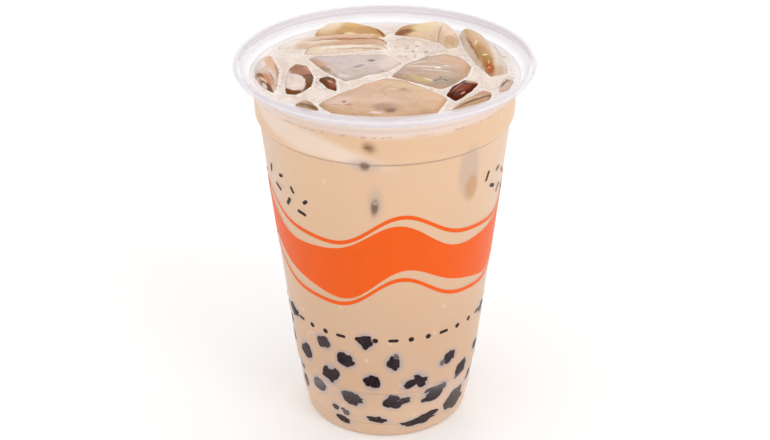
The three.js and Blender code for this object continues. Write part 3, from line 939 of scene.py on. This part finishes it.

# How each piece of ice looks: its own colour, then ovals of other colours where it is cracked, cloudy or
# stained, small pale ovals of painted highlight and glint, and dark arcs of painted shade on the hollow
# piece. An oval has its middle, half its length and half its width in millimetres, its turn in degrees,
# its colour, its strength and the softness of its edge.
ICE_TINTS_AND_PAINTED_LIGHT = {
    "ice_left": ((226, 202, 180), (
        (-39.5, 6, 4, 2, 80, (238, 222, 204), 0.9, 0.8),
        (-35.5, 3.5, 6.5, 2.6, 95, (221, 172, 134), 0.9, 0.6),
        (-33.8, 0, 6, 0.6, 98, (180, 134, 108), 0.8, 0.6),
        (-36.2, -10, 4.2, 1.7, -62, (206, 142, 104), 0.9, 0.5),
        (-38.7, -6.4, 2.6, 0.6, -61, (132, 84, 44), 0.9, 0.9),
        (-35.8, -13.4, 4.8, 0.6, -61, (120, 72, 36), 0.9, 0.8),
        (-39, 0, 3, 1.6, 85, (240, 226, 220), 0.85, 0.8),
        # The next two thin pale lines are painted highlights
        (-36.8, -12.4, 1.6, 0.4, -61, (250, 236, 224), 0.85, 0.7),
        (-37.4, -9.6, 2.6, 0.3, -61, (246, 222, 200), 0.8, 0.7),
        (-35, -8, 2.4, 0.4, -70, (150, 100, 66), 0.8, 0.7),
    )),
    # Its dark own colour, left in arcs round its pale middle, is painted shade in its dimple
    "ice_hollow": ((122, 74, 34), (
        (-25.8, 0.4, 5, 4.6, 20, (174, 120, 92), 0.95, 0.4),
        (-24.4, 0.5, 2.6, 0.5, -60, (216, 160, 140), 0.6, 0.7),
        (-27.4, 2, 2.4, 0.4, 30, (140, 90, 70), 0.6, 0.7),
        (-27.9, -9.8, 6.4, 3.5, 100, (238, 216, 205), 1, 0.22),
        (-31, -3.5, 4.2, 1.7, 90, (234, 216, 200), 0.9, 0.6),
        (-27, -12.4, 1.8, 0.5, 40, (250, 240, 232), 0.7, 0.7),
        (-28.6, -7, 2.2, 0.7, 100, (220, 190, 176), 0.6, 0.8),
    )),
    "ice_chip": ((118, 66, 34), (
        (-19, -7, 2.2, 1.5, 0, (108, 72, 34), 0.9, 0.6),
        (-16, -11, 3.2, 1.3, 95, (150, 82, 58), 0.9, 0.6),
        (-16.9, -9.4, 1.4, 0.35, -50, (220, 168, 140), 0.8, 0.6),
        (-15.6, -8, 1, 0.3, 80, (84, 44, 26), 0.8, 0.6),
    )),
    "ice_front_chip": ((184, 144, 110), (
        (-22.6, -28, 3, 0.9, -30, (112, 80, 44), 0.85, 0.7),
        (-25.4, -24.8, 1.8, 0.9, 25, (226, 204, 180), 0.8, 0.7),
    )),
    "ice_front": ((216, 174, 138), (
        (-11, -20, 10, 4.5, 47, (214, 174, 148), 0.6, 1.0),
        (4.5, -12.6, 8, 2.2, -26, (222, 192, 144), 0.55, 1.0),
        (-4.5, -11, 5.5, 2, 38, (233, 181, 140), 0.6, 0.9),
        (13, -22, 7, 4, -60, (231, 184, 142), 0.5, 1.0),
        (-2, -24, 9, 3, 5, (230, 194, 168), 0.5, 1.0),
        (5.5, -16.9, 1.8, 0.9, -10, (182, 132, 108), 0.75, 0.8),
        (3, -16.4, 2.2, 0.35, -8, (240, 212, 188), 0.7, 0.8),
        (0.4, -29.6, 3.6, 3, 10, (172, 128, 104), 0.7, 1.0),
        (1.6, -32.2, 1.6, 1.5, 0, (134, 90, 72), 0.8, 1.0),
        # A painted glint
        (-2.6, -33.4, 1.8, 0.8, 0, (240, 212, 212), 0.8, 0.8),
        (-13, -25, 3.8, 3, 20, (230, 200, 188), 0.65, 0.9),
        (-12.2, -25.8, 0.6, 0.5, 0, (148, 62, 48), 0.9, 0.6),
        (-10.9, -27.6, 1.2, 0.5, 20, (188, 118, 92), 0.8, 0.7),
        (-14.6, -27.4, 2, 0.4, -15, (190, 140, 116), 0.7, 0.7),
        (10, -30, 5, 1.6, 20, (222, 178, 140), 0.5, 0.9),
    )),
    "ice_flat": ((212, 192, 182), (
        (1.8, 6, 6, 3.6, 80, (234, 210, 198), 0.8, 0.8),
        (-15, 8.4, 6, 2.4, 4, (208, 192, 188), 0.7, 0.9),
        (-6, 4.6, 7, 3, 20, (214, 197, 193), 0.5, 1.0),
        (-20.3, 4.8, 5.6, 1.3, -57, (209, 166, 142), 0.95, 0.4),
        (-18.4, 1.4, 2.4, 0.8, -50, (172, 142, 114), 0.8, 0.6),
        (-4.5, 7.6, 1.5, 0.8, 12, (112, 100, 98), 0.9, 0.7),
        (-8.3, 2.4, 2.1, 0.8, 28, (150, 136, 134), 0.85, 0.8),
        (-14, 5.2, 1.2, 0.5, 0, (186, 172, 168), 0.8, 0.7),
        (-12.6, -2.4, 1.4, 0.4, -50, (180, 166, 160), 0.7, 0.7),
        (-14.6, 0, 1.3, 0.4, -50, (184, 170, 164), 0.7, 0.7),
        (-13, -4.6, 2.2, 1.4, -30, (232, 218, 210), 0.7, 0.8),
        (-1, -0.4, 1, 0.3, 20, (172, 154, 146), 0.7, 0.7),
    )),
    "ice_dome": ((204, 172, 146), (
        (21.4, 6, 6, 4.4, -50, (214, 172, 140), 0.85, 0.8),
        (24.8, 1, 4.4, 1, 88, (218, 160, 126), 0.7, 0.7),
        (4.6, -3.4, 2.8, 1.7, 40, (190, 156, 142), 0.8, 0.8),
        (17.6, -9.6, 3.8, 2.2, 25, (170, 156, 142), 0.8, 0.8),
        (11.5, -8, 4.2, 1.1, -36, (214, 186, 136), 0.8, 0.8),
        (13.6, -8.8, 1.8, 0.4, -40, (246, 232, 206), 0.8, 0.7),
        (10, -2.6, 7, 0.5, -14, (180, 148, 136), 0.8, 0.7),
        (12.5, 0.4, 5.6, 0.5, -8, (238, 218, 208), 0.85, 0.7),
        (15.8, -2.6, 5, 0.4, -18, (230, 208, 198), 0.85, 0.7),
        (16.5, 2.6, 4.4, 0.4, -22, (190, 160, 146), 0.7, 0.7),
        (9.6, 3.4, 3.6, 0.4, 24, (228, 206, 194), 0.8, 0.7),
        (13.4, 4.4, 4, 0.3, -10, (226, 206, 196), 0.7, 0.7),
        # The next two are painted highlights
        (16.6, -0.6, 1.2, 0.6, -30, (250, 246, 246), 0.9, 0.7),
        (19.4, 0.8, 1, 0.4, -30, (244, 236, 232), 0.8, 0.7),
        (16, -9.4, 1.5, 0.3, 14, (84, 68, 56), 0.9, 0.8),
        (18.6, -9.6, 0.8, 0.3, -20, (74, 58, 48), 0.9, 0.8),
        (17.2, -8.2, 0.5, 0.2, 40, (60, 46, 38), 0.9, 0.8),
        (9.4, 8.2, 7.5, 0.6, 42, (172, 156, 124), 0.7, 0.7),
    )),
    "ice_bar_near": ((244, 224, 204), (
        (-22.5, 16.4, 2.6, 1.3, 10, (232, 212, 170), 0.8, 0.7),
        (-1.6, 19.6, 2.8, 0.8, 6, (200, 156, 110), 0.9, 0.6),
        (-10, 19, 12, 0.5, 5, (222, 180, 150), 0.9, 0.8),
        (-10, 20.1, 11, 0.22, 5, (166, 116, 84), 0.9, 0.8),
        (-25, 16.6, 2, 0.3, 80, (190, 150, 116), 0.8, 0.8),
        (-14, 17.2, 9, 0.4, 8, (252, 240, 226), 0.8, 0.8),
        (-8, 17, 8, 0.18, 8, (196, 150, 118), 0.8, 0.9),
    )),
    "ice_bar_far": ((235, 206, 180), (
        (-31, 21.6, 5.4, 2.6, 30, (250, 238, 230), 0.95, 0.8),
        (-28, 24.4, 4, 1.1, 16, (233, 213, 152), 0.9, 0.8),
        (-11, 23.6, 11, 2, 5, (219, 174, 142), 0.9, 0.8),
        (-14, 27, 12, 0.5, 3, (252, 240, 222), 0.9, 0.7),
        (-1.8, 24.6, 2.6, 1.2, 0, (194, 146, 96), 0.9, 0.6),
        (-12, 22.9, 12, 0.25, 6, (158, 106, 74), 0.9, 0.8),
        (-14, 25.6, 9, 0.2, 4, (184, 134, 100), 0.8, 0.9),
        (0, 24.6, 1, 0.4, 60, (120, 84, 62), 0.8, 0.7),
        (-22, 21.2, 7, 0.5, 6, (246, 226, 206), 0.8, 0.8),
    )),
    "ice_back_left": ((216, 172, 120), (
        (-17.4, 33.6, 5, 3, 15, (247, 224, 194), 0.95, 0.8),
        (-10.4, 33.4, 4, 2.2, 0, (228, 182, 120), 0.8, 0.8),
        (-3.6, 31.8, 4.2, 1.6, -28, (195, 147, 92), 0.95, 0.6),
        (-1.4, 30.8, 1.6, 0.7, -30, (142, 98, 56), 0.9, 0.6),
        (-11, 29.3, 9, 0.25, 1, (250, 228, 194), 0.9, 0.7),
        (-8, 35, 5, 0.5, -14, (172, 126, 78), 0.7, 0.7),
    )),
    "ice_back_right": ((244, 214, 184), (
        (7.4, 32.4, 5.4, 2, 12, (206, 156, 110), 0.95, 0.6),
        (7, 31, 5, 0.35, -12, (146, 98, 70), 0.85, 0.8),
        (14, 31.6, 4.6, 3, 0, (243, 217, 174), 0.9, 0.8),
        (20, 28.6, 4.8, 2.4, 85, (236, 202, 180), 0.85, 0.8),
        (21.5, 22, 2.2, 1.7, 80, (212, 174, 138), 0.9, 0.6),
        (18.2, 27, 3.4, 0.3, 75, (196, 150, 128), 0.7, 0.7),
        (15, 34.8, 5, 0.5, -8, (190, 146, 104), 0.7, 0.7),
    )),
    "ice_right": ((236, 219, 202), (
        (30.4, 14, 17, 2.8, -79, (213, 170, 126), 0.95, 0.5),
        (28, 27.6, 4, 1.6, -70, (212, 180, 136), 0.9, 0.7),
        (31, 9, 6, 1.7, -80, (190, 142, 84), 0.9, 0.8),
        (32.4, 3, 3.6, 1.6, -84, (178, 128, 66), 0.9, 0.7),
        (32.9, -1.2, 3, 1.5, 95, (176, 98, 42), 0.95, 0.9),
        (28.2, 14, 8, 0.3, -78, (150, 106, 72), 0.8, 0.8),
        # The pale yellow specks that follow are painted glints
        (29.4, 15.6, 1.4, 0.3, 84, (246, 222, 172), 0.8, 0.9),
        (31.8, 6.4, 0.9, 0.5, 10, (250, 226, 176), 0.85, 0.8),
        (30.6, 21, 2.2, 0.25, -72, (236, 206, 160), 0.7, 0.9),
        (32.6, 1.8, 1, 0.3, 80, (240, 196, 130), 0.8, 0.9),
        (35.8, -1.4, 1.8, 1.4, 80, (220, 180, 148), 0.8, 0.8),
        (32.6, -1, 0.6, 0.4, 20, (232, 160, 100), 0.8, 0.8),
        (36.6, 10, 8, 0.4, -70, (196, 184, 176), 0.7, 0.7),
    )),
    "ice_dark": ((98, 34, 8), (
        (24.5, -14.5, 2.6, 1.3, 55, (146, 66, 30), 0.8, 0.7),
        (26.6, -10.4, 1.8, 1.4, 20, (194, 152, 126), 0.95, 0.6),
        (22.4, -14.4, 3.6, 0.3, 60, (190, 116, 84), 0.75, 0.8),
        (24.9, -12.4, 0.9, 0.7, 30, (58, 18, 8), 0.9, 0.7),
        (20.8, -20.4, 1.2, 0.8, -50, (52, 18, 8), 0.9, 0.7),
        # A painted glint
        (23.6, -18.6, 1.4, 0.25, 58, (226, 170, 146), 0.8, 0.7),
        (22.6, -17.2, 2, 0.3, 50, (166, 84, 48), 0.8, 0.8),
    )),
    "ice_sliver": ((206, 167, 124), (
        (29.5, -19.2, 3.2, 1.6, 40, (198, 138, 104), 0.95, 0.7),
        (24.3, -24.8, 2.2, 1, 50, (218, 188, 140), 0.8, 0.8),
        (27.6, -24.2, 7.8, 0.6, 42, (120, 76, 46), 0.85, 0.7),
        (31.4, -17.4, 1.6, 0.4, 20, (230, 190, 160), 0.7, 0.7),
    )),
    "ice_small": ((231, 202, 186), (
        (36.7, -12.8, 3, 0.5, 62, (124, 80, 56), 0.9, 0.6),
        # A painted glint
        (38.3, -9.4, 1, 0.6, 40, (250, 236, 228), 0.9, 0.6),
        (37.8, -11.8, 0.7, 0.4, 60, (210, 160, 134), 0.8, 0.6),
    )),
}


def ice(name, own, ovals):
    """Wet ice tinted by the tea, with clouds, cracks and stains, painted highlights, glints and shade, and
    paler where it meets the froth.
    """
    finish = Finish(name)
    rough_plan = finish.plan(*WAVER)
    fine_plan = finish.plan(*FINE_WAVER)
    cloudy = finish.cloud(3.5 * MM, 4.0, 0.6, 1.0).step(0.38, 0.68)
    colour = finish.mix(cloudy, paint(*own), paint(*[c * CLOUDED for c in own]))
    # Some of the ovals are painted highlights, glints and shade
    for x, y, half_long, half_wide, turn, tint, strength, soft in ovals:
        plan = fine_plan if half_wide < FINE_MARK else rough_plan
        inside = finish.oval(plan, x * MM, y * MM, half_long * MM, half_wide * MM, turn, soft)
        colour = finish.over(colour, (inside, (tint, strength)))
    shore = finish.attribute("rise").step(SHORE_HEIGHT, 0.0)
    colour = finish.over(colour, (shore, ICE_SHORE))
    skin = finish.relief(finish.cloud(3.0 * MM), 0.5, 0.5 * MM)
    return finish.principled({
        "Base Color": colour, "Roughness": 0.12, "IOR": 1.31, "Transmission Weight": 0.06, "Normal": skin,
        "Specular IOR Level": DULL_SHINE if max(own) < DARK_ICE else WET_SHINE,
    })


def ice_piece(node, count):
    """The solid's shape with its edges melted round and its faces made uneven."""
    shape = merged_copy(node)
    bmesh.ops.subdivide_edges(shape, edges=shape.edges[:], cuts=ICE_CUTS, use_grid_fill=True)
    for _ in range(ICE_SMOOTHINGS):
        bmesh.ops.smooth_vert(
            shape, verts=shape.verts[:], factor=0.5, use_axis_x=True, use_axis_y=True, use_axis_z=True,
        )
    shape.normal_update()
    for corner in shape.verts:
        here = Vector(corner.co)
        push = ICE_GROWTH + noise.noise(here / ICE_LUMPS[0] + Vector((count, 0, 0))) * ICE_LUMPS[1]
        push += noise.noise(here / ICE_DENTS[0]) * ICE_DENTS[1]
        corner.co += corner.normal * push
    made = piece(node + "_clear", shape, ice(node + "_ice", *ICE_TINTS_AND_PAINTED_LIGHT[node]), [node])
    store(made.data, "rise", points_of(made.data)[:, 2] - TEA_LEVEL)


def bubble():
    """A thin bubble: its rim catches the light and its middle shows the froth under it."""
    finish = Finish("bubble")
    edge = finish.node("ShaderNodeLayerWeight", {}, {"Blend": 0.5}, "Facing")
    colour = finish.mix(edge.step(0.25, 0.7), paint(*BUBBLE_MIDDLE), paint(*BUBBLE_RIM))
    return finish.principled({"Base Color": colour, "Roughness": 0.15})


def froth_bubbles(material, tea_mesh):
    """Small domes that stand on the froth, closer together beside the ice and in one field at the back."""
    draw = random.Random(BUBBLE_SEED)
    tea_corners = [Vector(v.co) for v in tea_mesh.vertices]
    tree = BVHTree.FromPolygons(tea_corners, [p.vertices for p in tea_mesh.polygons])
    spots = []
    while len(spots) < BUBBLES * SPOTS_A_BUBBLE:
        x = draw.uniform(-1, 1) * SPOTS_WITHIN
        y = draw.uniform(-1, 1) * SPOTS_WITHIN
        if math.hypot(x, y) < BUBBLES_WITHIN:
            spots.append((x, y, TEA_LEVEL))
    spots = np.array(spots)
    gap = ice_distance(spots)
    field_x, field_y, _, field_reach, _ = BUBBLE_FIELD
    shape = bmesh.new()
    made = 0
    for spot, away in zip(spots, gap):
        field = math.exp(-((spot[0] - field_x) ** 2 + (spot[1] - field_y) ** 2) / field_reach ** 2)
        beside = math.exp(-((away - BESIDE_ICE) / BESIDE_ICE) ** 2)
        chance = CHANCE_ANYWHERE + CHANCE_IN_FIELD * field + CHANCE_BESIDE_ICE * beside
        size = BUBBLE_SMALLEST + (BUBBLE_LARGEST - BUBBLE_SMALLEST) * draw.random() ** BUBBLE_SMALLNESS
        if away < size * CLEAR_OF_ICE or draw.random() > chance or made >= BUBBLES:
            continue
        made += 1
        hit = tree.ray_cast(Vector((spot[0], spot[1], cad_bounds[1].z)), Vector((0, 0, -1)))[0]
        flattened = Matrix.Diagonal((size, size, size * BUBBLE_FLATNESS, 1))
        bmesh.ops.create_uvsphere(
            shape, u_segments=BUBBLE_SIDES, v_segments=BUBBLE_RINGS, radius=1.0,
            matrix=Matrix.Translation(hit) @ flattened,
        )
    return piece("froth_bubbles", shape, material)


def ink(name, colour):
    """Printed ink, slightly uneven."""
    finish = Finish(name)
    thin = finish.cloud(6 * MM).step(0.3, 0.8) * WORN_SHARE
    shade = finish.mix(thin, paint(*colour), paint(*[c * WORN_INK for c in colour]))
    return finish.principled({
        "Base Color": shade, "Roughness": 0.4, "Specular IOR Level": 0.2,
    })


def wrap(shape, move):
    """Puts a flat shape on the wall: move gives each corner's angle and height."""
    radius_at = radius_finder(0)
    for corner in shape.verts:
        angle, height = move(corner.co)
        radius = float(radius_at(height)) + INK_HEIGHT
        corner.co = (radius * math.sin(angle), -radius * math.cos(angle), height)


def show_no_shadow(print_piece):
    """Milk scatters light back to just behind the ink, so the ink leaves no dark line beside it."""
    print_piece.visible_shadow = False
    print_piece.visible_diffuse = False


def wave_height(angle):
    swing = math.sin(WAVE_COUNT * angle + WAVE_START)
    swing += RIPPLE * math.sin(2 * WAVE_COUNT * angle + RIPPLE_START)
    return WAVE_MIDDLE + WAVE_SWING * swing


def wave_band(name, material, offset, half_height, swell):
    """A band round the cup that follows the wave, thicker on its rises by the share swell."""
    line = [(1.0, i / WAVE_ROWS * 2 - 1) for i in range(WAVE_ROWS + 1)]
    shape = spun(line, WAVE_STEPS)

    def move(place):
        angle = math.atan2(place.y, place.x)
        middle = wave_height(angle) + offset
        half = half_height * (1 + swell * math.cos(WAVE_COUNT * angle + WAVE_START))
        return angle, middle + place.z * half

    wrap(shape, move)
    bmesh.ops.recalc_face_normals(shape, faces=shape.faces[:])
    show_no_shadow(piece(name, shape, material))


def marks(name, material, stamps):
    """Small flat bars with round ends on the wall. A stamp has an angle, a height, half sizes and a tilt."""
    shape = bmesh.new()
    radius_at = radius_finder(0)
    for angle, height, half_long, half_wide, tilt in stamps:
        made = bmesh.ops.create_circle(shape, cap_ends=True, segments=END_STEPS, radius=half_wide)
        radius = float(radius_at(height))
        for corner in made["verts"]:
            corner.co.x += math.copysign(half_long - half_wide, corner.co.x)
            turned = Matrix.Rotation(math.radians(tilt), 3, "Z") @ corner.co
            turn = math.radians(angle) + turned.x / radius
            here = height + turned.y
            far = float(radius_at(here)) + INK_HEIGHT
            corner.co = (far * math.sin(turn), -far * math.cos(turn), here)
    show_no_shadow(piece(name, shape, material))


def print_on_cup():
    orange = ink("orange_ink", ORANGE)
    dark = ink("dark_ink", DARK)
    wave_band("print_wave", orange, 0, WAVE_HALF_HEIGHT, WAVE_SWELL)
    wave_band("print_line_above", orange, LINE_OFFSET, LINE_HALF_HEIGHT, 0)
    wave_band("print_line_below", orange, -LINE_OFFSET, LINE_HALF_HEIGHT, 0)
    ring = []
    for i in range(MARK_COUNT):
        half_sizes = (DOT_RADIUS, DOT_RADIUS) if i % DASH_EVERY else DASH_HALF
        ring.append((360 * i / MARK_COUNT + MARKS_START, MARK_HEIGHT, *half_sizes, 0))
    marks("print_marks", dark, ring)
    strokes = []
    for turn in range(STROKE_REPEATS):
        for angle, height, half_long, half_wide, tilt in STROKES:
            around = angle + 360 * turn / STROKE_REPEATS
            strokes.append((around, height * MM, half_long * MM, half_wide * MM, tilt))
    marks("print_strokes", dark, strokes)


# Studio: a white floor, a bright sky and soft lights, each with its place, size and power
FLOOR_RADIUS = 4.0
FLOOR_STEPS = 96
FLOOR_WHITE = (0.97, 0.97, 0.97, 1)
FLOOR_GLOW = 0.07
SKY = 0.9
KEY = ((0.85, -0.85, 0.6), 0.7, 3.0)
FILL = ((-0.9, -0.5, 0.55), 0.7, 0.5)
BACK = ((0.15, 1.1, 0.75), 0.8, 1.7)
LIT_SPOT = (0, 0, 0.07)


def white_floor():
    finish = Finish("white_floor")
    return finish.principled({
        "Base Color": FLOOR_WHITE, "Roughness": 0.9, "Emission Color": (1, 1, 1, 1),
        "Emission Strength": FLOOR_GLOW,
    })


def soft_light(name, place, size, power):
    light = bpy.data.lights.new(name, "AREA")
    light.shape = "DISK"
    light.size = size
    light.energy = power
    made = bpy.data.objects.new(name, light)
    made.location = place
    towards = Vector(LIT_SPOT) - made.location
    made.rotation_euler = towards.to_track_quat("-Z", "Y").to_euler()
    bpy.context.scene.collection.objects.link(made)


def studio():
    shape = bmesh.new()
    bmesh.ops.create_circle(shape, cap_ends=True, segments=FLOOR_STEPS, radius=FLOOR_RADIUS)
    mesh = bpy.data.meshes.new("floor")
    shape.to_mesh(mesh)
    shape.free()
    mesh.materials.append(white_floor())
    floor = bpy.data.objects.new("floor", mesh)
    bpy.context.scene.collection.objects.link(floor)
    world = bpy.data.worlds.new("studio")
    bpy.context.scene.world = world
    world.use_nodes = True
    sky = world.node_tree.nodes["Background"].inputs
    sky["Color"].default_value = (1, 1, 1, 1)
    sky["Strength"].default_value = SKY
    soft_light("key", *KEY)
    soft_light("fill", *FILL)
    soft_light("back", *BACK)


def camera():
    lens = bpy.data.cameras.new("camera")
    lens.sensor_width = SENSOR
    lens.sensor_fit = "HORIZONTAL"
    lens.lens = FOCAL_PIXELS / PHOTO_WIDTH * SENSOR
    lens.clip_start = NEAREST_SEEN
    made = bpy.data.objects.new("camera", lens)
    made.location, facing = view_frame()
    made.rotation_euler = facing.to_euler()
    bpy.context.scene.collection.objects.link(made)
    bpy.context.scene.camera = made


camera()
studio()
bpy.context.scene.view_settings.view_transform = "Standard"
pearl_rows = all_pearls()
cup_wall(plastic())
body = tea_body(tea(), pearl_rows)
pressed_pearls(pearl_rows, pearl())
for index, node_name in enumerate(ice_names()):
    ice_piece(node_name, index)
froth_bubbles(bubble(), body.data)
print_on_cup()
